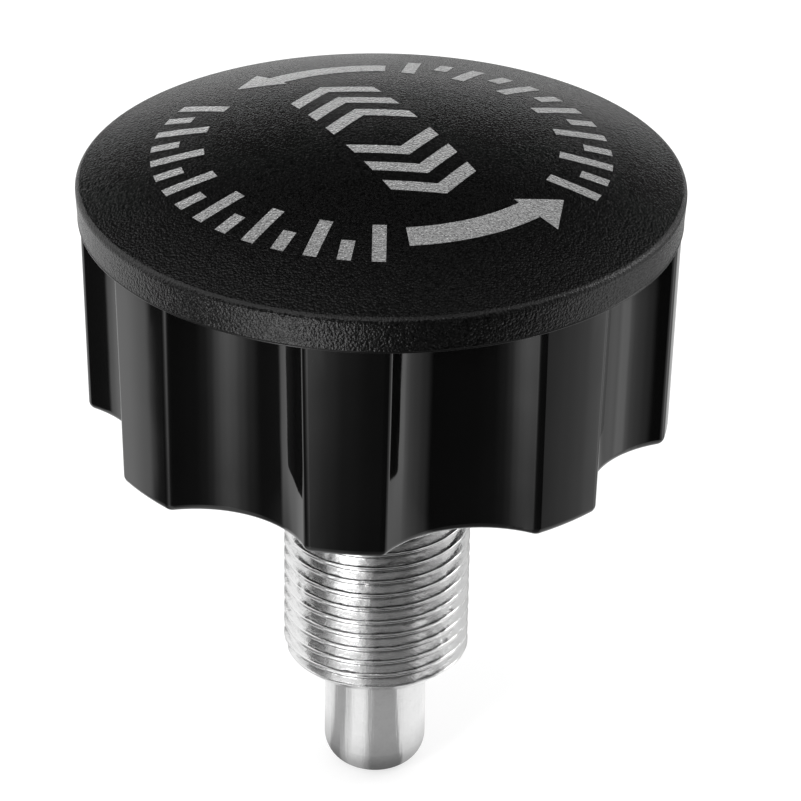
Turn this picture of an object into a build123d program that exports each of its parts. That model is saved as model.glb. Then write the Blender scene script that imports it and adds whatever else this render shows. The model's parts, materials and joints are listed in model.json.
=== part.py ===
from build123d import *
import math
import os

# Spring pull pin with an eight-lobed knob, in millimetres.
# +Z is the pin's axis, with the knob on top. The origin is the centre of the barrel's end face,
# where the pin's nose comes out. One lobe faces -Y, the front.

# Plunger pin
nose_radius = 4.95
nose_reach = 12.7  # how far the nose stands out of the barrel at rest
nose_rounding = 3.0
nose_relief = 0.25  # the nose is turned this much smaller than the guide, so that burrs don't bind
step_depth = 0.1  # the guide starts this far inside the barrel
guide_length = 10.3
shank_radius = 3.0
pin_proud = 0.25  # what the shank shows above its nut
end_break = 0.5

# Threaded barrel
thread_radius = 9.0
thread_length = 26.5  # from the end face to the hexagon's shoulder
end_chamfer = 1.0
relief_width = 2.0
relief_depth = 0.9
hex_flats = 19.0
hex_chamfer = 0.8
hex_grip = 4.2  # hexagon still inside the knob when it is pulled right up
barrel_web = 3.5
mouth_chamfer = 0.4

# Travel and fits, all radial unless they say otherwise
pull = 11.0  # how far the knob and pin lift
guide_fit = 0.05
shank_fit = 0.1
hex_fit = 0.1
thread_fit = 0.03
plug_fit = 0.05
seat_gap = 0.05  # along the axis

# Spring
spring_wire = 1.2
spring_clearance = 0.5  # between the spring's outside and the bore
spring_turns = 13.5

# Washer and nut that hold the knob on the shank
washer_radius = 8.0
washer_thickness = 1.2
washer_hole_gap = 0.2
nut_flats = 10.0
nut_height = 3.2
nut_chamfer = 0.5

# Knob moulding
lobe_count = 8
lobe_radius = 27.4  # at the bottom edge
draft = 1.1  # degrees, wider at the top
flute_radius = 10.3
flute_depth = 3.75
corner_rounding = 0.9
foot_rounding = 0.8
knob_wall = 3.0
hub_wall = 3.8
hub_setback = 0.6
hub_break = 0.5
rib_thickness = 2.0
rib_setback = 3.0
knob_web = 2.6
rim_wall = 4.2  # between a flute and the recess under the cap

# Textured cap
cap_overhang = 0.15  # past the tops of the lobes
cap_height = 3.35
cap_flare = 0.2  # wider at the top than at the lip
cap_dome = 4.9  # rise of the crown over the rim
cap_wall = 1.8  # under the dome
cap_room = 1.85  # from the shank's end up to the plane of the rim
cap_edge = 0.6
cap_lip = 0.25
plug_wall = 1.5
plug_floor_gap = 0.3
bead_reach = 0.25
bead_height = 1.0

# Heights along the axis
barrel_top = thread_length + pull + hex_grip
web_low = barrel_top + seat_gap
web_high = web_low + knob_web
nut_low = web_high + washer_thickness
nut_high = nut_low + nut_height
pin_top = nut_high + pin_proud
cap_top = pin_top + cap_room  # the rim of the dome
cap_crown = cap_top + cap_dome
knob_top = cap_top - cap_height
guide_top = step_depth + guide_length
bore_top = barrel_top - barrel_web

# Radii that follow from the sizes above
guide_radius = nose_radius + nose_relief
bore_radius = guide_radius + guide_fit
hex_corner = hex_flats / 2 / math.cos(math.radians(30))
hub_radius = hex_corner + hex_fit + hub_wall
lobe_spread = math.tan(math.radians(draft))
lobe_top_radius = lobe_radius + (knob_top - thread_length) * lobe_spread
cap_radius = lobe_top_radius + cap_overhang
cap_top_radius = cap_radius + cap_flare
dome_radius = (cap_top_radius**2 + cap_dome**2) / (2 * cap_dome)
flute_centre = lobe_radius - flute_depth + flute_radius
recess_radius = lobe_radius - flute_depth - rim_wall
plug_radius = recess_radius - plug_fit
lobe_angle = 360 / lobe_count
cut_past = 1.0  # how far a cutter runs past the face that it opens

UP = (Align.CENTER, Align.CENTER, Align.MIN)


def rod(radius, low, high):
    """A cylinder on the axis between two heights."""
    return Pos(0, 0, low) * Cylinder(radius, high - low, align=UP)


def tapered_rod(low_radius, high_radius, low, high):
    """A cone on the axis between two heights."""
    return Pos(0, 0, low) * Cone(low_radius, high_radius, high - low, align=UP)


def hexagon(flats, low, high, low_chamfer, high_chamfer):
    """A hexagon bar with its corners turned off at the ends that have a chamfer."""
    bar = extrude(RegularPolygon(flats / 2, 6, major_radius=False), high - low)
    blank = rod(flats / 2 / math.cos(math.radians(30)), 0, high - low)
    ends = blank.edges().filter_by(GeomType.CIRCLE).sort_by(Axis.Z)
    if low_chamfer:
        blank = chamfer(ends[0], low_chamfer)
    if high_chamfer:
        ends = blank.edges().filter_by(GeomType.CIRCLE).sort_by(Axis.Z)
        blank = chamfer(ends[-1], high_chamfer)
    return Pos(0, 0, low) * (bar & blank)


def plunger_pin():
    """The nose, the guide that slides in the barrel, and the shank up to the nut."""
    nose = rod(nose_radius, -nose_reach, step_depth)
    nose = fillet(nose.edges().filter_by(GeomType.CIRCLE).sort_by(Axis.Z)[0], nose_rounding)
    guide = rod(guide_radius, step_depth, guide_top)
    shank = rod(shank_radius, guide_top, pin_top)
    shank = chamfer(shank.edges().filter_by(GeomType.CIRCLE).sort_by(Axis.Z)[-1], end_break)
    return nose + guide + shank


def threaded_barrel():
    """The sleeve: thread outside, bore for pin and spring inside, hexagon that the knob slides on."""
    thread_high = thread_length - relief_width
    thread = rod(thread_radius, 0, thread_high)
    thread = chamfer(thread.edges().filter_by(GeomType.CIRCLE).sort_by(Axis.Z)[0], end_chamfer)
    relief = rod(thread_radius - relief_depth, thread_high, thread_length)
    head = hexagon(hex_flats, thread_length, barrel_top, 0, hex_chamfer)
    bore = rod(bore_radius, -cut_past, bore_top)
    mouth = tapered_rod(bore_radius + mouth_chamfer, bore_radius, 0, mouth_chamfer)
    shank_hole = rod(shank_radius + shank_fit, bore_top - cut_past, barrel_top + cut_past)
    return thread + relief + head - bore - mouth - shank_hole


def spring():
    """The compression spring between the guide's shoulder and the web of the barrel."""
    low = guide_top + seat_gap + spring_wire / 2
    high = bore_top - seat_gap - spring_wire / 2
    turn_radius = bore_radius - spring_clearance - spring_wire / 2
    path = Pos(0, 0, low) * Helix((high - low) / spring_turns, high - low, turn_radius)
    section = Plane(path @ 0, z_dir=path % 0) * Circle(spring_wire / 2)
    return sweep(section, path=path, is_frenet=True)


def washer():
    """The flat washer that spreads the nut's load on the moulding."""
    disc = rod(washer_radius, web_high, nut_low)
    return disc - rod(shank_radius + washer_hole_gap, web_high - cut_past, nut_low + cut_past)


def lock_nut():
    """The thin nut on the shank."""
    body = hexagon(nut_flats, nut_low, nut_high, nut_chamfer, nut_chamfer)
    return body - rod(shank_radius + thread_fit, nut_low - cut_past, nut_high + cut_past)


def around(shape, offset_angle=0.0):
    """One copy of a shape for each lobe, turned about the axis."""
    return [Rot(0, 0, offset_angle + i * lobe_angle) * shape for i in range(lobe_count)]


def lobed_outside():
    """The outside of the moulding: a drafted drum with a round flute between each two lobes."""
    height = knob_top - thread_length
    drum = tapered_rod(lobe_radius, lobe_top_radius, thread_length, knob_top)
    shrink = height * lobe_spread
    flute = Pos(flute_centre, 0, thread_length) * Cone(
        flute_radius, flute_radius - shrink, height, align=UP
    )
    drum = drum - around(flute, lobe_angle / 2)
    corners = [
        e
        for e in drum.edges()
        if abs(e.center().Z - (thread_length + knob_top) / 2) < height / 4
        and e.length < height * 1.2
    ]
    drum = fillet(corners, corner_rounding)
    foot = drum.faces().sort_by(Axis.Z)[0].edges()
    return fillet(foot, foot_rounding)


def lobed_hollow():
    """The space under the moulding: a wall's thickness inside the lobes, round the hub and its ribs."""
    low = thread_length - cut_past
    reach = lobe_radius - knob_wall
    space = rod(reach, low, web_low)
    bulge = Pos(flute_centre, 0, low) * Cylinder(flute_radius + knob_wall, web_low - low, align=UP)
    space = space - around(bulge, lobe_angle / 2)
    hub = rod(hub_radius, thread_length + hub_setback, web_low)
    hub = chamfer(hub.edges().filter_by(GeomType.CIRCLE).sort_by(Axis.Z)[0], hub_break)
    rib_low = thread_length + rib_setback
    rib = Pos(0, 0, rib_low) * Box(
        reach * 2, rib_thickness, web_low - rib_low, align=UP
    )
    ribs = [Rot(0, 0, i * lobe_angle) * rib for i in range(lobe_count // 2)]
    return space - hub - ribs


def knob_body():
    """The glossy moulding: lobes, hollow underside, hexagon socket, web and recess under the cap."""
    body = lobed_outside() - lobed_hollow()
    socket = hexagon(hex_flats + 2 * hex_fit, thread_length - cut_past, web_low, 0, 0)
    hole = rod(shank_radius + shank_fit, web_low - cut_past, web_high + cut_past)
    recess = rod(recess_radius, web_high, knob_top + cut_past)
    return body - socket - hole - recess - snap_ring(recess_radius, bead_height)


def snap_ring(radius, height):
    """The ridge of the cap's plug, or the groove that it snaps into: a ring of triangular section."""
    middle = (web_high + knob_top) / 2
    inner = radius - bead_reach
    outline = Polyline(
        (inner, 0, middle - height / 2),
        (radius, 0, middle - height / 2),
        (radius + bead_reach, 0, middle),
        (radius, 0, middle + height / 2),
        (inner, 0, middle + height / 2),
        close=True,
    )
    return revolve(make_face(outline), Axis.Z)


def top_cap():
    """The textured cap: a dome with a rounded rim, hollow inside a plug that snaps into the recess."""
    rise = ThreePointArc(
        (-cap_top_radius, 0, cap_top), (0, 0, cap_crown), (cap_top_radius, 0, cap_top)
    )
    half = rise.trim(0.5, 1.0)
    side = Line(half @ 1, (cap_radius, 0, knob_top + cap_lip))
    lip = Line(side @ 1, (cap_radius - cap_lip, 0, knob_top))
    under = Polyline(lip @ 1, (0, 0, knob_top), half @ 0)
    disc = revolve(make_face([half, side, lip, under]), Axis.Z)
    rim = [e for e in disc.edges() if abs(e.center().Z - cap_top) < cap_edge / 2]
    disc = fillet(rim, cap_edge)
    plug = rod(plug_radius, web_high + plug_floor_gap, knob_top)
    ridge = snap_ring(plug_radius, bead_height - 2 * plug_fit)
    inside = Pos(0, 0, cap_crown - dome_radius) * Sphere(dome_radius - cap_wall)
    hollow = rod(plug_radius - plug_wall, web_high, cap_crown) & inside
    return disc + plug + ridge - hollow


os.makedirs("parts", exist_ok=True)
for name, make in {
    "plunger_pin": plunger_pin,
    "threaded_barrel": threaded_barrel,
    "spring": spring,
    "washer": washer,
    "lock_nut": lock_nut,
    "knob_body": knob_body,
    "top_cap": top_cap,
}.items():
    export_step(make(), f"parts/{name}.step")
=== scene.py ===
import json
import math

import bmesh
import bpy
import numpy as np
from mathutils import Matrix, Vector, noise

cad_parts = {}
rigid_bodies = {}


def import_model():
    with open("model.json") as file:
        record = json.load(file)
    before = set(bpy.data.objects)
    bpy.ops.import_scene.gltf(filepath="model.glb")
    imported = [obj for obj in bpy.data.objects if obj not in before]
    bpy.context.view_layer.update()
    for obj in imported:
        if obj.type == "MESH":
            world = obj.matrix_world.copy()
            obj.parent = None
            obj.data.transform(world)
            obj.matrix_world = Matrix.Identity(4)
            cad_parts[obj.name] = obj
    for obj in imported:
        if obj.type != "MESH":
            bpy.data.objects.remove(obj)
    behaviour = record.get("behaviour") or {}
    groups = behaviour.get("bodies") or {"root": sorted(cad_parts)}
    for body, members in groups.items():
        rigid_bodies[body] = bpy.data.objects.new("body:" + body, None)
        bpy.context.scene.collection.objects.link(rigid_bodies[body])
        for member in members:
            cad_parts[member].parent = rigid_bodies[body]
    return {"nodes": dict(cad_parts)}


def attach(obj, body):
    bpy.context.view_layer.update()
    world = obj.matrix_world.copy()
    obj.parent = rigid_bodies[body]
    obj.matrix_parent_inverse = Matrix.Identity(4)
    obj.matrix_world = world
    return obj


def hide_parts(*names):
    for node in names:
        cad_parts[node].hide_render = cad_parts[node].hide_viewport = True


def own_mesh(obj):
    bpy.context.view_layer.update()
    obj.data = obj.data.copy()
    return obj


# Spring pull pin with an eight-lobed knob. Lengths are in millimetres until a mesh is made.
for left_over in list(bpy.data.objects):
    bpy.data.objects.remove(left_over, do_unlink=True)
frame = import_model()
bpy.context.view_layer.update()

MM = 0.001
HEADING = 5.633  # degrees: the camera stands this far round from the front lobe
SEGMENTS = 168  # round the barrel, a multiple of 12 so that the hexagon's corners fall on it

# Sizes shared with the CAD source
THREAD_RADIUS = 9.0
THREAD_TOP = 24.5
THREAD_LENGTH = 26.5
RELIEF_RADIUS = 8.1
END_CHAMFER = 1.0
HEX_FLATS = 19.0
HEX_CHAMFER = 0.8
BARREL_TOP = 41.7
BORE_TOP = 38.2
BORE_RADIUS = 5.25
MOUTH_RADIUS = 5.65
MOUTH_CHAMFER = 0.4
SHANK_HOLE = 3.1
NOSE_REACH = 12.7
DOME_RIM_Z = 50.85
DOME_RIM_RADIUS = 28.153
DOME_RISE = 4.9
DOME_RADIUS = (DOME_RIM_RADIUS**2 + DOME_RISE**2) / (2 * DOME_RISE)
CROWN_Z = DOME_RIM_Z + DOME_RISE


# Node helpers
CURVE_PEAK = 2.0  # the colours of a ramp stay under one, so that its levels are scaled by this


def new_material(name):
    """A material with only a Principled shader, its nodes and its links."""
    material = bpy.data.materials.new(name)
    material.use_nodes = True
    nodes, links = material.node_tree.nodes, material.node_tree.links
    shader = nodes["Principled BSDF"]
    return material, nodes, links, shader


def coordinates(nodes, kind="Object"):
    """The point on the object, or with Generated, in the world, the direction of the ray."""
    return nodes.new("ShaderNodeTexCoord").outputs[kind]


def split(nodes, links, vector):
    """The parts of a vector, as outputs with the names X, Y and Z."""
    node = nodes.new("ShaderNodeSeparateXYZ")
    links.new(vector, node.inputs["Vector"])
    return node.outputs


def place(nodes, links, scale, turn=(0, 0, 0)):
    """Object coordinates, scaled separately along the three axes."""
    mapping = nodes.new("ShaderNodeMapping")
    mapping.inputs["Scale"].default_value = scale
    mapping.inputs["Rotation"].default_value = turn
    links.new(coordinates(nodes), mapping.inputs["Vector"])
    return mapping.outputs["Vector"]


def noise_at(nodes, links, vector, scale, detail=2.0, rough=0.5):
    """Noise of a scale, with finer layers that are as strong as rough says."""
    texture = nodes.new("ShaderNodeTexNoise")
    texture.inputs["Scale"].default_value = scale
    texture.inputs["Detail"].default_value = detail
    texture.inputs["Roughness"].default_value = rough
    links.new(vector, texture.inputs["Vector"])
    return texture.outputs["Fac"]


def spread(nodes, links, value, low, high, from_low=0.3, from_high=0.7):
    """Maps a value from one range to another, by default from the usual range of noise."""
    node = nodes.new("ShaderNodeMapRange")
    node.inputs["From Min"].default_value = from_low
    node.inputs["From Max"].default_value = from_high
    node.inputs["To Min"].default_value = low
    node.inputs["To Max"].default_value = high
    links.new(value, node.inputs["Value"])
    return node.outputs["Result"]


def combine(nodes, links, operation, a, b):
    """A math node on two values, each of them a number or an output."""
    node = nodes.new("ShaderNodeMath")
    node.operation = operation
    for socket, value in zip(node.inputs, (a, b)):
        if isinstance(value, (int, float)):
            socket.default_value = value
        else:
            links.new(value, socket)
    return node.outputs["Value"]


def product(nodes, links, first, *others):
    """Values multiplied from left to right."""
    for other in others:
        first = combine(nodes, links, "MULTIPLY", first, other)
    return first


def curve(nodes, links, value, stops_wanted, smooth=True):
    """A value that follows (input, output) stops, smoothly or in straight lines."""
    low, high = stops_wanted[0][0], stops_wanted[-1][0]
    ramp = nodes.new("ShaderNodeValToRGB")
    ramp.color_ramp.interpolation = "EASE" if smooth else "LINEAR"
    stops = ramp.color_ramp.elements
    while len(stops) < len(stops_wanted):
        stops.new(0.5)
    for stop, (at, level) in zip(stops, stops_wanted):
        stop.position = (at - low) / (high - low)
        stop.color = (*grey(level / CURVE_PEAK), 1)
    links.new(spread(nodes, links, value, 0.0, 1.0, low, high), ramp.inputs["Fac"])
    return product(nodes, links, ramp.outputs["Color"], CURVE_PEAK)


def mix_grey(nodes, links, factor, dark, light):
    """A colour between two greys, by a factor."""
    node = nodes.new("ShaderNodeMix")
    node.data_type = "RGBA"
    node.inputs["A"].default_value = (*dark, 1)
    node.inputs["B"].default_value = (*light, 1)
    links.new(factor, node.inputs["Factor"])
    return node.outputs["Result"]


def bump(nodes, links, height, distance, before=None):
    """A normal from a height, on top of an earlier bump where one is given."""
    node = nodes.new("ShaderNodeBump")
    node.inputs["Distance"].default_value = distance
    node.inputs["Strength"].default_value = 1.0
    links.new(height, node.inputs["Height"])
    if before is not None:
        links.new(before, node.inputs["Normal"])
    return node.outputs["Normal"]


def grey(value):
    return (value, value, value)


# Materials
RUB_SCALE = 90
HAIR_SCALE = 2600
HAIR_DEPTH = 0.0000004
WAVE_SCALE = 130
WAVE_DEPTH = 0.000035


def gloss_black():
    """Glossy moulded plastic: deep black, slight moulding waves, rub marks and hairline scratches."""
    material, nodes, links, shader = new_material("gloss_black_moulding")
    even = place(nodes, links, (1, 1, 1))
    upright = place(nodes, links, (1, 1, 0.06), turn=(0.05, 0.03, 0))
    rub = noise_at(nodes, links, even, RUB_SCALE, detail=4, rough=0.6)
    hairs = noise_at(nodes, links, upright, HAIR_SCALE, detail=2, rough=0.6)
    waves = noise_at(nodes, links, even, WAVE_SCALE, detail=1)
    links.new(mix_grey(nodes, links, rub, grey(0.0022), grey(0.0042)), shader.inputs["Base Color"])
    worn = spread(nodes, links, rub, 0.025, 0.075)
    lines = spread(nodes, links, hairs, 0.0, 0.03, from_low=0.58, from_high=0.72)
    links.new(combine(nodes, links, "ADD", worn, lines), shader.inputs["Roughness"])
    normal = bump(nodes, links, waves, WAVE_DEPTH)
    normal = bump(nodes, links, hairs, HAIR_DEPTH, before=normal)
    links.new(normal, shader.inputs["Normal"])
    return material


GRAIN_CELLS = 4100
GRAIN_FINE = 6500
GRAIN_RANGE = (-0.3, 0.4)  # the grain's height in the pits and on the tops
GRAIN_DEPTH = 0.000036
RIM_GRAIN = 1.3  # the grain is this much deeper below the dome
RIM_HEIGHTS = (0.0500, 0.0510)


def cap_grain(nodes, links):
    """The spark-eroded grain of the cap as a height: small round bumps over a fine roughness."""
    even = place(nodes, links, (1, 1, 1))
    cells = nodes.new("ShaderNodeTexVoronoi")
    cells.feature = "SMOOTH_F1"
    cells.inputs["Scale"].default_value = GRAIN_CELLS
    cells.inputs["Smoothness"].default_value = 0.5
    links.new(even, cells.inputs["Vector"])
    fine = noise_at(nodes, links, even, GRAIN_FINE, detail=1.0)
    bumps = product(nodes, links, cells.outputs["Distance"], -1.0)
    return combine(nodes, links, "ADD", fine, bumps)


def textured_black():
    """Black plastic with a fine spark-eroded grain, duller in the pits, with painted shade that darkens
    the pits.
    """
    material, nodes, links, shader = new_material("textured_black_moulding")
    grain = cap_grain(nodes, links)
    # Painted shade: the base colour is darker in the grain's pits, where shade falls.
    pits = spread(nodes, links, grain, 0.0, 1.0, *GRAIN_RANGE)
    links.new(mix_grey(nodes, links, pits, grey(0.0006), grey(0.0066)), shader.inputs["Base Color"])
    links.new(spread(nodes, links, grain, 0.26, 0.16, *GRAIN_RANGE), shader.inputs["Roughness"])
    height = split(nodes, links, coordinates(nodes))["Z"]
    grain = product(nodes, links, grain, spread(nodes, links, height, RIM_GRAIN, 1.0, *RIM_HEIGHTS))
    links.new(bump(nodes, links, grain, GRAIN_DEPTH), shader.inputs["Normal"])
    return material


INK_SCALE = 5200
INK_BUMP = 0.00012


def print_grey():
    """Pad-printed grey ink over the grain, thinner in the pits."""
    material, nodes, links, shader = new_material("grey_print")
    grain = cap_grain(nodes, links)
    even = place(nodes, links, (1, 1, 1))
    cover = noise_at(nodes, links, even, INK_SCALE, detail=2, rough=0.6)
    pits = spread(nodes, links, cover, 0.0, 1.0, from_low=0.36, from_high=0.62)
    links.new(mix_grey(nodes, links, pits, grey(0.075), grey(0.26)), shader.inputs["Base Color"])
    shader.inputs["Sheen Weight"].default_value = 1.0
    shader.inputs["Sheen Roughness"].default_value = 0.35
    links.new(spread(nodes, links, cover, 0.5, 0.34), shader.inputs["Roughness"])
    links.new(bump(nodes, links, grain, INK_BUMP), shader.inputs["Normal"])
    return material


STAIN_SCALE = 260
SPECK_SCALE = 2400
STREAK_SCALE = 1500


def steel(name, greys, roughness, ring_scale, ring_depth, nicks=0.0, streaks=0.0):
    """Bright plated steel with turning or rolling marks round the axis, stains and small nicks."""
    material, nodes, links, shader = new_material(name)
    shader.inputs["Metallic"].default_value = 1.0
    rings = place(nodes, links, (0.03, 0.03, 1))
    even = place(nodes, links, (1, 1, 1))
    marks = noise_at(nodes, links, rings, ring_scale, detail=3, rough=0.6)
    stain = noise_at(nodes, links, even, STAIN_SCALE, detail=5, rough=0.65)
    speck = noise_at(nodes, links, even, SPECK_SCALE, detail=2, rough=0.6)
    clean = spread(nodes, links, stain, 0.75, 1.0)
    tone = product(nodes, links, clean, spread(nodes, links, speck, 0.86, 1.0, 0.25, 0.4))
    dark, light = greys
    links.new(mix_grey(nodes, links, tone, grey(dark), grey(light)), shader.inputs["Base Color"])
    rough = spread(nodes, links, marks, *roughness)
    rough = combine(nodes, links, "ADD", rough, spread(nodes, links, stain, 0.05, 0.0))
    links.new(rough, shader.inputs["Roughness"])
    normal = bump(nodes, links, marks, ring_depth)
    if nicks:
        normal = bump(nodes, links, speck, nicks, before=normal)
    if streaks:
        upright = place(nodes, links, (1, 1, 0.05), turn=(0.02, 0.03, 0))
        lines = noise_at(nodes, links, upright, STREAK_SCALE, detail=3, rough=0.6)
        normal = bump(nodes, links, lines, streaks, before=normal)
    links.new(normal, shader.inputs["Normal"])
    return material


barrel_steel = steel(
    "plated_barrel_steel",
    greys=(0.60, 0.96),
    roughness=(0.11, 0.22),
    ring_scale=5200,
    ring_depth=0.000008,
    nicks=0.000018,
)
pin_steel = steel(
    "ground_pin_steel",
    greys=(0.45, 0.74),
    roughness=(0.10, 0.19),
    ring_scale=9000,
    ring_depth=0.0000012,
    nicks=0.000006,
    streaks=0.000040,
)
spring_steel = steel(
    "drawn_spring_steel",
    greys=(0.18, 0.42),
    roughness=(0.22, 0.34),
    ring_scale=4200,
    ring_depth=0.000003,
)
hardware_steel = steel(
    "zinc_hardware_steel",
    greys=(0.42, 0.68),
    roughness=(0.20, 0.34),
    ring_scale=3600,
    ring_depth=0.000004,
)

finishes = {
    "knob_body": gloss_black(),
    "top_cap": textured_black(),
    "plunger_pin": pin_steel,
    "washer": hardware_steel,
    "lock_nut": hardware_steel,
}
for node, finish in finishes.items():
    frame["nodes"][node].material_slots[0].material = finish


# Mesh helpers
def make_piece(name, points, faces, material, body, sharp=None):
    """A mesh from points in millimetres, smooth but for the edges that sharp(edge) picks."""
    mesh = bpy.data.meshes.new(name)
    mesh.from_pydata([Vector(p) * MM for p in points], [], faces)
    mesh.materials.append(material)
    bm = bmesh.new()
    bm.from_mesh(mesh)
    bmesh.ops.recalc_face_normals(bm, faces=bm.faces)
    for face in bm.faces:
        face.smooth = True
    for edge in bm.edges:
        if sharp is not None and sharp(edge):
            edge.smooth = False
    bm.to_mesh(mesh)
    bm.free()
    piece = bpy.data.objects.new(name, mesh)
    bpy.context.scene.collection.objects.link(piece)
    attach(piece, body)
    return piece


def sharper_than(degrees):
    """Picks the edges that fold by more than an angle."""
    return lambda edge: edge.calc_face_angle(0) > math.radians(degrees)


def grid_faces(rows, columns, close_rows, close_columns, first=0):
    """Quads between neighbouring rows and columns of points, wrapped round where it says."""
    faces = []
    for i in range(rows if close_rows else rows - 1):
        for j in range(columns if close_columns else columns - 1):
            a, b = i * columns, ((i + 1) % rows) * columns
            k = (j + 1) % columns
            faces.append((first + a + j, first + a + k, first + b + k, first + b + j))
    return faces


# Threaded barrel
PITCH = 1.5
CREST_HALF = 0.135
FLANK_SLOPE = math.tan(math.radians(60))
THREAD_DEPTH = 0.92
CORNER_SOFTNESS = 0.055
SEAM_DEPTH = 0.07
SEAM_HALF = 0.04
CREST_ANGLE = math.radians(-90 + HEADING)  # a crest passes here at CREST_Z, as in the photograph
CREST_Z = 8.25
RUN_OUT_SLOPE = 1.2
RING_STEP = 0.06
CHAMFER_STEPS = 8
NICK_DEPTH = 0.07
NICK_SIZE = 0.9
NICK_SQUEEZE = 1.4  # the marks are shorter along the axis by this
NICK_LIMIT = 0.22  # noise under this leaves the thread whole
NICK_FREE = 0.6  # no marks so near the thread's ends
FINE_SIZE = 0.35  # small marks, against the others
FINE_DEPTH = 0.3
FINE_SHIFT = 40
SHARP_DEGREES = 28  # off the thread, edges that fold by more than this are sharp
END_MARGIN = 0.01
BELOW_ROOTS = 7.5  # a radius between the bore and the thread's roots


def soft_above(value, softness):
    """The larger of value and zero, with the corner rounded."""
    return 0.5 * (value + np.sqrt(value**2 + softness**2))


def thread_radius(angle, z):
    """The rolled thread's radius: a narrow crest with a seam, straight flanks and a rounded root."""
    climb = PITCH * (angle - CREST_ANGLE) / (2 * math.pi)
    from_crest = np.abs(((z - CREST_Z - climb) / PITCH + 0.5) % 1 - 0.5) * PITCH
    drop = soft_above((from_crest - CREST_HALF) * FLANK_SLOPE, CORNER_SOFTNESS)
    drop = THREAD_DEPTH - soft_above(THREAD_DEPTH - drop, CORNER_SOFTNESS)
    seam = SEAM_DEPTH * np.exp(-((from_crest / SEAM_HALF) ** 2))
    start = THREAD_RADIUS - END_CHAMFER + z
    run_out = RELIEF_RADIUS + (THREAD_TOP - z) * RUN_OUT_SLOPE
    return np.minimum(np.minimum(THREAD_RADIUS - drop - seam, start), run_out)


def nick(angle, z):
    """How deep handling marks have dented the thread at one point."""
    x, y = THREAD_RADIUS * math.cos(angle), THREAD_RADIUS * math.sin(angle)
    value = noise.noise(Vector((x, y, z * NICK_SQUEEZE)) / NICK_SIZE)
    fine = noise.noise(Vector((y + FINE_SHIFT, x, z)) / (NICK_SIZE * FINE_SIZE))
    return NICK_DEPTH * max(0.0, value - NICK_LIMIT) * 2 + NICK_DEPTH * FINE_DEPTH * max(0.0, fine)


def build_barrel():
    """The sleeve as one closed skin of rings: up the thread and hexagon, and down the bore."""
    angles = np.arange(SEGMENTS) * 2 * math.pi / SEGMENTS
    heights = np.linspace(0, THREAD_TOP, round(THREAD_TOP / RING_STEP) + 1)
    angle_grid, z_grid = np.meshgrid(angles, heights)
    radii = thread_radius(angle_grid, z_grid)
    inner = (heights > NICK_FREE) & (heights < THREAD_TOP - NICK_FREE)
    for row in np.flatnonzero(inner):
        radii[row] -= [nick(a, heights[row]) for a in angles]
    rings = [(radii[i], heights[i]) for i in range(len(heights))]

    round_ring = np.ones(SEGMENTS)
    from_flat = np.mod(angles, math.radians(60)) - math.radians(30)
    hexagon = HEX_FLATS / 2 / np.cos(from_flat)
    corner = HEX_FLATS / 2 / math.cos(math.radians(30))
    rings.append((round_ring * RELIEF_RADIUS, THREAD_LENGTH))
    rings.append((hexagon, THREAD_LENGTH))
    for step in range(CHAMFER_STEPS + 1):
        rise = HEX_CHAMFER * step / CHAMFER_STEPS
        rings.append((np.minimum(hexagon, corner - rise), BARREL_TOP - HEX_CHAMFER + rise))
    inside = [
        (SHANK_HOLE, BARREL_TOP),
        (SHANK_HOLE, BORE_TOP),
        (BORE_RADIUS, BORE_TOP),
        (BORE_RADIUS, MOUTH_CHAMFER),
        (MOUTH_RADIUS, 0),
    ]
    rings += [(round_ring * radius, z) for radius, z in inside]

    points = []
    for radius, z in rings:
        xs, ys = radius * np.cos(angles), radius * np.sin(angles)
        points += [(x, y, z) for x, y in zip(xs, ys)]
    faces = grid_faces(len(rings), SEGMENTS, True, True)

    def sharp(edge):
        middle = (edge.verts[0].co + edge.verts[1].co) / 2
        inside_ends = END_MARGIN < middle.z / MM < THREAD_TOP - END_MARGIN
        on_thread = inside_ends and middle.xy.length / MM > BELOW_ROOTS
        return not on_thread and sharper_than(SHARP_DEGREES)(edge)

    piece = make_piece("threaded_sleeve", points, faces, barrel_steel, "barrel", sharp)
    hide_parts("threaded_barrel")


# Spring
SPRING_WIRE = 1.2
SPRING_LOW = 11.05
SPRING_HIGH = 37.55
SPRING_TURN_RADIUS = 4.15
SPRING_TURNS = 13.5
SPRING_STEPS = 40  # round one turn
WIRE_SIDES = 14


def build_spring():
    """The coiled wire, with a flat face at each end."""
    count = round(SPRING_TURNS * SPRING_STEPS) + 1
    points = []
    climb = (SPRING_HIGH - SPRING_LOW) / (SPRING_TURNS * 2 * math.pi)
    for i in range(count):
        turn = i * 2 * math.pi / SPRING_STEPS
        outward = Vector((math.cos(turn), math.sin(turn), 0))
        along = Vector(
            (-SPRING_TURN_RADIUS * outward.y, SPRING_TURN_RADIUS * outward.x, climb)
        ).normalized()
        up = along.cross(outward)
        centre = outward * SPRING_TURN_RADIUS + Vector((0, 0, SPRING_LOW + climb * turn))
        for j in range(WIRE_SIDES):
            side = j * 2 * math.pi / WIRE_SIDES
            offset = outward * math.cos(side) + up * math.sin(side)
            points.append(centre + offset * SPRING_WIRE / 2)
    faces = grid_faces(count, WIRE_SIDES, False, True)
    faces.append(tuple(range(WIRE_SIDES)))
    faces.append(tuple(range(len(points) - WIRE_SIDES, len(points))))
    piece = make_piece("coil_spring", points, faces, spring_steel, "barrel", sharper_than(60))
    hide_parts("spring")
    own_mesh(piece)


# Print on the cap
INK_PROUD = 0.015
INK_DEPTH = 0.04
INK_ACROSS = 5  # points across a printed strip
PRINT_TURN = math.radians(HEADING)
grey_ink = print_grey()


def on_dome(x, y, lift):
    """A point over the cap's dome, lifted along the axis."""
    z = CROWN_Z - DOME_RADIUS + math.sqrt(DOME_RADIUS**2 - x * x - y * y)
    return (x, y, z + lift)


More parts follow.
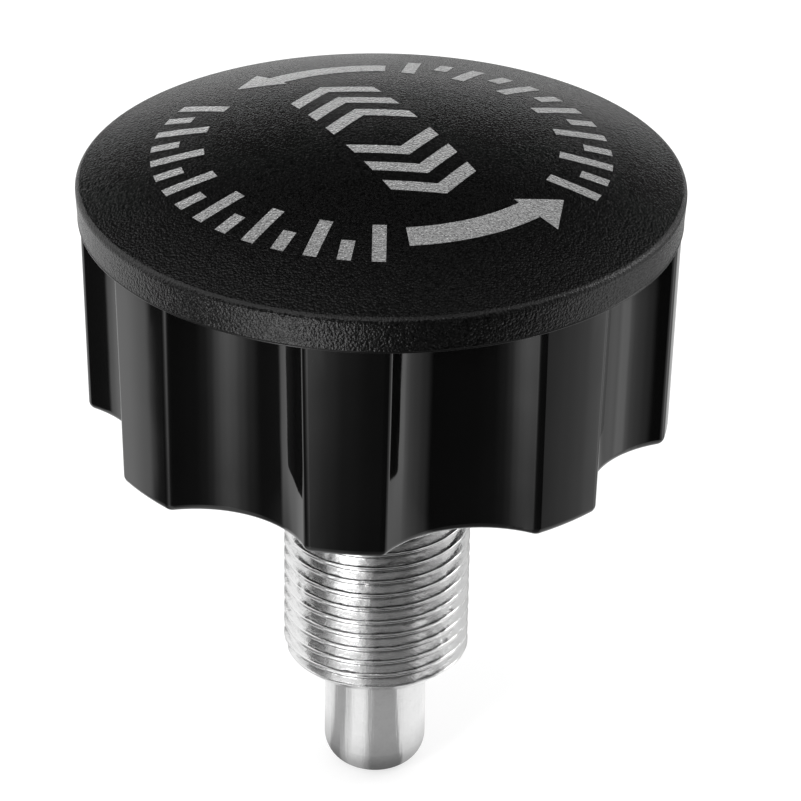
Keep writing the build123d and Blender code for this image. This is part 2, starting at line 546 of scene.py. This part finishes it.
def polar(radius, degrees):
    """Print coordinates from a radius and an angle round from the camera, anticlockwise from above."""
    angle = math.radians(degrees - 90) + PRINT_TURN
    return Vector((radius * math.cos(angle), radius * math.sin(angle)))


def turned(x, y):
    """Print coordinates from millimetres to the right of and away from the camera."""
    c, s = math.cos(PRINT_TURN), math.sin(PRINT_TURN)
    return Vector((x * c - y * s, x * s + y * c))


def ink_strip(rows):
    """Points and faces of one thin closed layer of ink between two edges, row by row."""
    points = []
    for lift in (INK_PROUD, -INK_DEPTH):
        for a, b in rows:
            for k in range(INK_ACROSS):
                p = a.lerp(b, k / (INK_ACROSS - 1))
                points.append(on_dome(p.x, p.y, lift))
    count = len(rows)
    layer = count * INK_ACROSS
    faces = grid_faces(count, INK_ACROSS, False, False)
    faces += grid_faces(count, INK_ACROSS, False, False, first=layer)
    rim = [i * INK_ACROSS for i in range(count)]
    rim += [(count - 1) * INK_ACROSS + k for k in range(1, INK_ACROSS)]
    rim += [i * INK_ACROSS + INK_ACROSS - 1 for i in range(count - 2, -1, -1)]
    rim += list(range(INK_ACROSS - 2, 0, -1))
    for here, after in zip(rim, rim[1:] + rim[:1]):
        faces.append((here, after, after + layer, here + layer))
    return points, faces


def make_print(name, strips):
    """One printed mark or row of marks, from its strips of ink."""
    points, faces = [], []
    for rows in strips:
        more_points, more_faces = ink_strip(rows)
        first = len(points)
        points += more_points
        faces += [tuple(first + i for i in face) for face in more_faces]
    make_piece(name, points, faces, grey_ink, "knob", sharper_than(40))


ARROW_INNER, ARROW_OUTER = 16.7, 19.2
BARB_INNER, BARB_OUTER = 16.1, 21.3
ARROW_TIP_RADIUS = 19.0
ARROW_HEAD_DEGREES = 12.0
ARROW_STEPS = 40
HEAD_STEPS = 8
HEAD_END = 0.985  # the last row stops short of the tip and keeps a width
HEAD_GAP = 0.05  # degrees between the shaft's end and the barbs
# From tail to neck, in degrees round from the camera
FRONT_ARROW = (8.0, 47.8)
BACK_ARROW = (179.6, 214.5)


def arrow_rows(tail, neck):
    """A curved arrow with its head turned anticlockwise."""
    rows = []
    for i in range(ARROW_STEPS + 1):
        at = tail + (neck - tail) * i / ARROW_STEPS
        rows.append((polar(ARROW_INNER, at), polar(ARROW_OUTER, at)))
    inner, outer = polar(BARB_INNER, neck + HEAD_GAP), polar(BARB_OUTER, neck + HEAD_GAP)
    tip = polar(ARROW_TIP_RADIUS, neck + ARROW_HEAD_DEGREES)
    for i in range(HEAD_STEPS + 1):
        near = min(i / HEAD_STEPS, HEAD_END)
        rows.append((inner.lerp(tip, near), outer.lerp(tip, near)))
    return rows


TICK_INNER, TICK_MIDDLE, TICK_OUTER = 16.3, 18.6, 21.2
TICK_WIDTH = 1.25
TICK_STEPS = 8
# First and last mark, in degrees round from the camera, and how many there are
LEFT_SCALE = (-117, 0, 15)
RIGHT_SCALE = (68, 172, 13)


def tick_rows(at, inner):
    """A radial mark from an inner radius outward."""
    across = polar(1, at + 90) * TICK_WIDTH / 2
    rows = []
    for i in range(TICK_STEPS + 1):
        p = polar(inner + (TICK_OUTER - inner) * i / TICK_STEPS, at)
        rows.append((p - across, p + across))
    return rows


def scale_strips(first, last, count):
    """Long and short marks by turns, like the scale of a dial."""
    strips = []
    for i in range(count):
        at = first + (last - first) * i / (count - 1)
        inner = TICK_INNER if i % 2 == 0 else TICK_MIDDLE
        strips.append(tick_rows(at, inner))
    return strips


CHEVRON_HEIGHT = 8.6
CHEVRON_DEPTH = 2.5
CHEVRON_STROKE = 1.7
CHEVRON_STEPS = 14
CHEVRON_FIRST = 1.2  # from the middle to the first chevron on either side
CHEVRON_PITCH = 3.6
CHEVRONS = 3
ROW_DIRECTION = math.radians(118)  # the middle row runs away from the camera and to the left


def chevron_rows(offset, facing):
    """One chevron of the middle row, its point outward."""
    along = Vector((math.cos(ROW_DIRECTION), math.sin(ROW_DIRECTION)))
    across = Vector((along.y, -along.x))
    rows = []
    for i in range(CHEVRON_STEPS + 1):
        t = 2 * i / CHEVRON_STEPS - 1
        start = offset + facing * CHEVRON_DEPTH * (1 - abs(t))
        p = along * start + across * (CHEVRON_HEIGHT / 2 * t)
        q = p + along * (facing * CHEVRON_STROKE)
        rows.append((turned(p.x, p.y), turned(q.x, q.y)))
    return rows


build_barrel()
build_spring()
make_print("print_arrow_front", [arrow_rows(*FRONT_ARROW)])
make_print("print_arrow_back", [arrow_rows(*BACK_ARROW)])
make_print("print_scale_left", scale_strips(*LEFT_SCALE))
make_print("print_scale_right", scale_strips(*RIGHT_SCALE))
offsets = [CHEVRON_FIRST + CHEVRON_PITCH * i for i in range(CHEVRONS)]
middle_row = [chevron_rows(offset, 1) for offset in offsets]
middle_row += [chevron_rows(-offset, -1) for offset in offsets]
make_print("print_middle", middle_row)


# Moulding bead along the cap's lower edge
BEAD_RADIUS = 27.86
BEAD_Z = 47.63
BEAD_TUBE = 0.12
BEAD_TURNS = 240
BEAD_SIDES = 12


def build_bead():
    """A thin ring half sunk in the cap's lower edge."""
    points = []
    for i in range(BEAD_TURNS):
        turn = 2 * math.pi * i / BEAD_TURNS
        for j in range(BEAD_SIDES):
            side = 2 * math.pi * j / BEAD_SIDES
            radius = BEAD_RADIUS + BEAD_TUBE * math.cos(side)
            z = BEAD_Z + BEAD_TUBE * math.sin(side)
            points.append((radius * math.cos(turn), radius * math.sin(turn), z))
    faces = grid_faces(BEAD_TURNS, BEAD_SIDES, True, True)
    piece = make_piece("cap_lip_bead", points, faces, finishes["knob_body"], "knob")


build_bead()


# Studio
DISC_SIDES = 96
WALL_SIDES = 180


def stage_mesh(name, points, faces, material):
    """A part of the studio, in metres."""
    mesh = bpy.data.meshes.new(name)
    mesh.from_pydata(points, [], faces)
    mesh.materials.append(material)
    thing = bpy.data.objects.new(name, mesh)
    bpy.context.scene.collection.objects.link(thing)
    return thing


def ring_points(radius, z, count):
    turns = [2 * math.pi * i / count for i in range(count)]
    return [(radius * math.cos(t), radius * math.sin(t), z) for t in turns]


def disc_mesh(radius, z):
    return ring_points(radius, z, DISC_SIDES), [tuple(range(DISC_SIDES))]


# Floor, in metres, at the end of the pin's nose
FLOOR_Z = -NOSE_REACH * MM
FLOOR_RADIUS = 4.0
FLOOR_GLOW = 0.62
FLOOR_COLOUR = 0.5


def glow_material(name):
    """A material with a glow that isn't sampled as a lamp, and the socket for its surface."""
    material, nodes, links, shader = new_material(name)
    nodes.remove(shader)
    glow = nodes.new("ShaderNodeEmission")
    material.cycles.emission_sampling = "NONE"
    return material, nodes, links, glow, nodes["Material Output"].inputs["Surface"]


def floor_material():
    """Pale floor: it glows white to the camera and in reflections, and keeps the object's shadow."""
    material, nodes, links, glow, surface = glow_material("pale_floor")
    path = nodes.new("ShaderNodeLightPath").outputs
    seen = combine(nodes, links, "MAXIMUM", path["Is Camera Ray"], path["Is Glossy Ray"])
    seen = combine(nodes, links, "MAXIMUM", seen, path["Is Transmission Ray"])
    links.new(product(nodes, links, seen, FLOOR_GLOW), glow.inputs["Strength"])
    matt = nodes.new("ShaderNodeBsdfDiffuse")
    matt.inputs["Color"].default_value = (*grey(FLOOR_COLOUR), 1)
    both = nodes.new("ShaderNodeAddShader")
    links.new(glow.outputs["Emission"], both.inputs[0])
    links.new(matt.outputs["BSDF"], both.inputs[1])
    links.new(both.outputs["Shader"], surface)
    return material


# Brightness of the studio round the object as its glossy sides show it: (degrees from the camera, value)
FAR_ROUND = (
    (-180, 0.65),
    (-150, 0.8),
    (-125, 0.9),
    (-110, 1.15),
    (-99, 0.95),
    (-93.5, 0.04),
    (-75, 0.03),
    (0, 0.03),
    (15, 0.01),
    (57, 0.01),
    (66, 0.32),
    (76, 0.5),
    (84, 0.62),
    (89, 0.85),
    (94, 1.35),
    (101, 1.25),
    (110, 0.75),
    (132, 0.4),
    (155, 0.6),
    (180, 0.65),
)
FRONT_CARD = (
    (-180, 0.0),
    (-70, 0.0),
    (-57, 0.2),
    (-48, 0.52),
    (-40, 0.92),
    (-34, 1.08),
    (-29, 0.95),
    (-24, 0.65),
    (-18, 0.24),
    (-12, 0.08),
    (-2, 0.0),
    (180, 0.0),
)
NEAR_ROUND = (
    (-180, 0.5),
    (-166, 0.6),
    (-150, 0.85),
    (-108, 0.85),
    (-96, 0.75),
    (-86, 0.25),
    (-66, 0.22),
    (-54, 0.6),
    (-40, 0.95),
    (-24, 0.9),
    (-13, 0.5),
    (-4, 0.18),
    (43, 0.18),
    (51, 0.8),
    (80, 0.9),
    (120, 0.9),
    (150, 0.8),
    (166, 0.6),
    (180, 0.5),
)
NEAR_RADIUS = 0.082
NEAR_FADE = 0.062  # from here outward the near cards give way to the wall
NEAR_ABOVE = 0.00005  # how far they lie above the floor
NEAR_LIFT = 0.24  # added brightness round the nose, between these radii
LIFT_RADII = (0.020, 0.036)
CONTACT_SHADOW_SHARE = 0.3  # painted contact shadow: the brightness left right under the nose
CONTACT_SHADOW_RADII = (0.003, 0.012)
WALL_RADIUS = 0.40
WALL_LOW = -0.9
# How the front card changes with the height on the wall: (metres, factor)
CARD_GAIN = ((-0.9, 0.25), (-0.225, 0.25), (-0.170, 0.75), (-0.160, 0.75), (-0.13, 1.9), (0.0, 1.9))
CARD_PEAK = 2.0
# A brighter card low on the wall, which only the cap's rim shows
LOW_CARD = ((-180, 0.0), (-46, 0.0), (-40, 0.5), (-35, 1.0), (-29, 0.5), (-22, 0.0), (180, 0.0))
LOW_HEIGHTS = ((-0.9, 0.0), (-0.34, 0.0), (-0.30, 1.0), (-0.255, 1.0), (-0.235, 0.0), (0.0, 0.0))
LOW_GAIN = 12.0
# The same for the rest of the wall
FAR_GAIN = ((-0.9, 0.5), (-0.255, 0.5), (-0.232, 1.0), (-0.165, 1.0), (-0.13, 0.5), (0.0, 0.5))
LEFT_SHARE = 0.9  # the height darkens the left of the wall no further than this
LEFT_DEGREES = (-60, 0)


def around_axis(nodes, links, axes):
    """A point's angle round the axis, in degrees to the right of the camera."""
    toward = product(nodes, links, axes["Y"], -1.0)
    angle = combine(nodes, links, "ARCTAN2", axes["X"], toward)
    return product(nodes, links, angle, math.degrees(1))


def wall_material():
    """Pale and black cards round the object, seen only in its gloss."""
    material, nodes, links, glow, surface = glow_material("studio_wall")
    axes = split(nodes, links, coordinates(nodes))
    degrees, height = around_axis(nodes, links, axes), axes["Z"]
    card = product(
        nodes,
        links,
        curve(nodes, links, degrees, FRONT_CARD),
        CARD_PEAK,
        curve(nodes, links, height, CARD_GAIN, smooth=False),
    )
    low = product(
        nodes,
        links,
        curve(nodes, links, degrees, LOW_CARD),
        LOW_GAIN,
        curve(nodes, links, height, LOW_HEIGHTS, smooth=False),
    )
    card = combine(nodes, links, "ADD", card, low)
    gain = curve(nodes, links, height, FAR_GAIN, smooth=False)
    left_keeps = spread(nodes, links, degrees, LEFT_SHARE, 0.0, *LEFT_DEGREES)
    gain = combine(nodes, links, "MAXIMUM", gain, left_keeps)
    far = product(nodes, links, curve(nodes, links, degrees, FAR_ROUND), gain)
    links.new(combine(nodes, links, "ADD", far, card), glow.inputs["Strength"])
    links.new(glow.outputs["Emission"], surface)
    return material


def near_material():
    """What the pin and the barrel show of the floor close by, with a painted contact shadow under the
    nose, fading out where the wall takes over.
    """
    material, nodes, links, glow, surface = glow_material("studio_floor_cards")
    where = coordinates(nodes)
    degrees = around_axis(nodes, links, split(nodes, links, where))
    length = nodes.new("ShaderNodeVectorMath")
    length.operation = "LENGTH"
    links.new(where, length.inputs[0])
    radius = length.outputs["Value"]
    near = curve(nodes, links, degrees, NEAR_ROUND)
    near = combine(nodes, links, "ADD", near, spread(nodes, links, radius, NEAR_LIFT, 0.0, *LIFT_RADII))
    # Painted contact shadow: the glow is dimmed right under the nose.
    near = product(nodes, links, near, spread(nodes, links, radius, CONTACT_SHADOW_SHARE, 1.0, *CONTACT_SHADOW_RADII))
    links.new(near, glow.inputs["Strength"])
    clear = nodes.new("ShaderNodeBsdfTransparent")
    fade = nodes.new("ShaderNodeMixShader")
    links.new(spread(nodes, links, radius, 0.0, 1.0, NEAR_FADE, NEAR_RADIUS), fade.inputs["Fac"])
    links.new(glow.outputs["Emission"], fade.inputs[1])
    links.new(clear.outputs["BSDF"], fade.inputs[2])
    links.new(fade.outputs["Shader"], surface)
    return material


def only_in_gloss(thing):
    """Turns a part of the studio to the camera and hides it from everything but reflections."""
    thing.rotation_euler.z = math.radians(HEADING)
    thing.visible_camera = False
    thing.visible_diffuse = False
    thing.visible_transmission = False
    thing.visible_shadow = False


floor = stage_mesh("floor", *disc_mesh(FLOOR_RADIUS, FLOOR_Z), floor_material())
floor.visible_glossy = False
near_cards = stage_mesh("near_cards", *disc_mesh(NEAR_RADIUS, 0), near_material())
near_cards.location.z = FLOOR_Z + NEAR_ABOVE
only_in_gloss(near_cards)

wall_points = ring_points(WALL_RADIUS, WALL_LOW, WALL_SIDES)
wall_points += ring_points(WALL_RADIUS, FLOOR_Z, WALL_SIDES)
wall_faces = grid_faces(2, WALL_SIDES, False, True) + [tuple(range(WALL_SIDES))]
wall = stage_mesh("wall_cards", wall_points, wall_faces, wall_material())
only_in_gloss(wall)

# What the upper half of the studio shows in gloss: (sine of the height above the horizon, value)
SKY = (
    (-1.0, 0.8),
    (0.0, 0.8),
    (0.08, 0.45),
    (0.18, 0.11),
    (0.30, 0.02),
    (0.60, 0.004),
    (0.75, 0.015),
    (1.0, 0.025),
)
SKY_DIFFUSE = 0.9
FRONT_SHARE = 0.12  # the studio is darker on the camera's side
# Light boxes overhead, from left to right: (how far to the right of the camera a ray leans, value)
OVERHEAD = (
    (-1.0, 1.0),
    (-0.54, 0.9),
    (-0.50, 0.30),
    (-0.46, 0.24),
    (-0.41, 0.9),
    (-0.36, 1.5),
    (-0.14, 1.5),
    (-0.08, 0.9),
    (0.0, 0.34),
    (0.24, 0.32),
    (0.36, 0.42),
    (0.46, 0.6),
    (1.0, 0.7),
)
# Where the studio gets darker in front, and where the boxes begin and end. Each is a range of how
# far a ray leans to the right, away from the camera or up.
FRONT_AWAY = (-0.75, -0.1)
ASIDE_WEIGHT = 0.9
BOX_AWAY = (0.0, 0.15)
BOX_RISE = (0.45, 0.65)
BOX_TOP = (0.82, 0.93)
TOP_SHARE = 0.65  # what the boxes keep straight overhead
SIDE_START = (0.37, 0.44)
SIDE_RISE = (0.1, 0.25)
SIDE_AWAY = (-0.4, 0.0)


def camera_axes(nodes, links, axes):
    """How far a ray leans to the right of the camera and how far away from it."""
    c, s = math.cos(math.radians(HEADING)), math.sin(math.radians(HEADING))
    east, north = axes["X"], axes["Y"]
    right = product(nodes, links, east, c)
    right = combine(nodes, links, "ADD", right, product(nodes, links, north, s))
    away = product(nodes, links, north, c)
    away = combine(nodes, links, "SUBTRACT", away, product(nodes, links, east, s))
    return right, away


def overhead_boxes(nodes, links, right, away, up):
    """The boxes over the camera's side, and what they reach further back on the left and right."""
    aside = product(nodes, links, combine(nodes, links, "ABSOLUTE", right, 0.0), ASIDE_WEIGHT)
    beyond = combine(nodes, links, "SUBTRACT", away, aside)
    reach = product(
        nodes,
        links,
        spread(nodes, links, beyond, 1.0, 0.0, *BOX_AWAY),
        spread(nodes, links, up, 0.0, 1.0, *BOX_RISE),
        spread(nodes, links, up, 1.0, TOP_SHARE, *BOX_TOP),
    )
    sides = product(
        nodes,
        links,
        spread(nodes, links, aside, 0.0, 1.0, *SIDE_START),
        spread(nodes, links, up, 0.0, 1.0, *SIDE_RISE),
        spread(nodes, links, away, 0.0, 1.0, *SIDE_AWAY),
    )
    reach = combine(nodes, links, "MAXIMUM", reach, sides)
    return product(nodes, links, curve(nodes, links, right, OVERHEAD, smooth=False), reach)


def make_world():
    """White to the camera, an even sky for soft light, and the studio for reflections."""
    world = bpy.data.worlds.new("studio")
    world.use_nodes = True
    nodes, links = world.node_tree.nodes, world.node_tree.links
    background = nodes["Background"]
    background.inputs["Color"].default_value = (*grey(1.0), 1)
    path = nodes.new("ShaderNodeLightPath").outputs
    axes = split(nodes, links, coordinates(nodes, "Generated"))
    right, away = camera_axes(nodes, links, axes)
    above = overhead_boxes(nodes, links, right, away, axes["Z"])
    behind = spread(nodes, links, away, FRONT_SHARE, 1.0, *FRONT_AWAY)
    horizon = product(nodes, links, curve(nodes, links, axes["Z"], SKY, smooth=False), behind)
    soft = nodes.new("ShaderNodeMix")
    soft.inputs["A"].default_value = SKY_DIFFUSE
    links.new(path["Is Glossy Ray"], soft.inputs["Factor"])
    links.new(combine(nodes, links, "ADD", horizon, above), soft.inputs["B"])
    seen = nodes.new("ShaderNodeMix")
    seen.inputs["B"].default_value = 1.0
    clear = combine(nodes, links, "MAXIMUM", path["Is Camera Ray"], path["Is Transmission Ray"])
    links.new(clear, seen.inputs["Factor"])
    links.new(soft.outputs["Result"], seen.inputs["A"])
    links.new(seen.outputs["Result"], background.inputs["Strength"])
    world.cycles.sampling_method = "NONE"
    bpy.context.scene.world = world


make_world()

TARGET = Vector((0, 0, 0.030))  # the lamps face this point


def lamp(name, azimuth, elevation, distance, width, height, power):
    """A soft box that faces the object, placed round from the camera and above the horizon."""
    a, e = math.radians(azimuth + HEADING), math.radians(elevation)
    outward = Vector((math.sin(a) * math.cos(e), -math.cos(a) * math.cos(e), math.sin(e)))
    light = bpy.data.lights.new(name, "AREA")
    light.shape = "RECTANGLE"
    light.size, light.size_y = width, height
    light.energy = power
    thing = bpy.data.objects.new(name, light)
    thing.location = TARGET + outward * distance
    thing.rotation_euler = outward.to_track_quat("Z", "Y").to_euler()
    bpy.context.scene.collection.objects.link(thing)
    return thing


key = lamp("key", azimuth=-38, elevation=20, distance=0.60, width=0.14, height=0.26, power=1.6)
key.visible_glossy = False
lamp("right_fill", azimuth=105, elevation=28, distance=0.70, width=0.20, height=0.30, power=0.55)
overhead = lamp("overhead", azimuth=10, elevation=78, distance=0.70, width=0.35, height=0.35, power=0.5)
overhead.visible_glossy = False

# Camera, fitted to the photograph's outlines
CAMERA_PLACE = Vector((34.935, -333.153, 212.703)) * MM
CAMERA_DOWN = 28.936  # degrees
CAMERA_ROLL = 0.877
FOCAL_PIXELS = 4040.56
IMAGE_PIXELS = 801
SENSOR = 36.0
CLIP_START = 0.01

camera_data = bpy.data.cameras.new("camera")
camera_data.sensor_width = SENSOR
camera_data.lens = SENSOR * FOCAL_PIXELS / IMAGE_PIXELS
camera_data.clip_start = CLIP_START
camera = bpy.data.objects.new("camera", camera_data)
camera.matrix_world = (
    Matrix.Translation(CAMERA_PLACE)
    @ Matrix.Rotation(math.radians(HEADING), 4, "Z")
    @ Matrix.Rotation(math.radians(90 - CAMERA_DOWN), 4, "X")
    @ Matrix.Rotation(math.radians(CAMERA_ROLL), 4, "Z")
)
bpy.context.scene.collection.objects.link(camera)
bpy.context.scene.camera = camera
bpy.context.scene.view_settings.view_transform = "Standard"

bpy.context.view_layer.update()
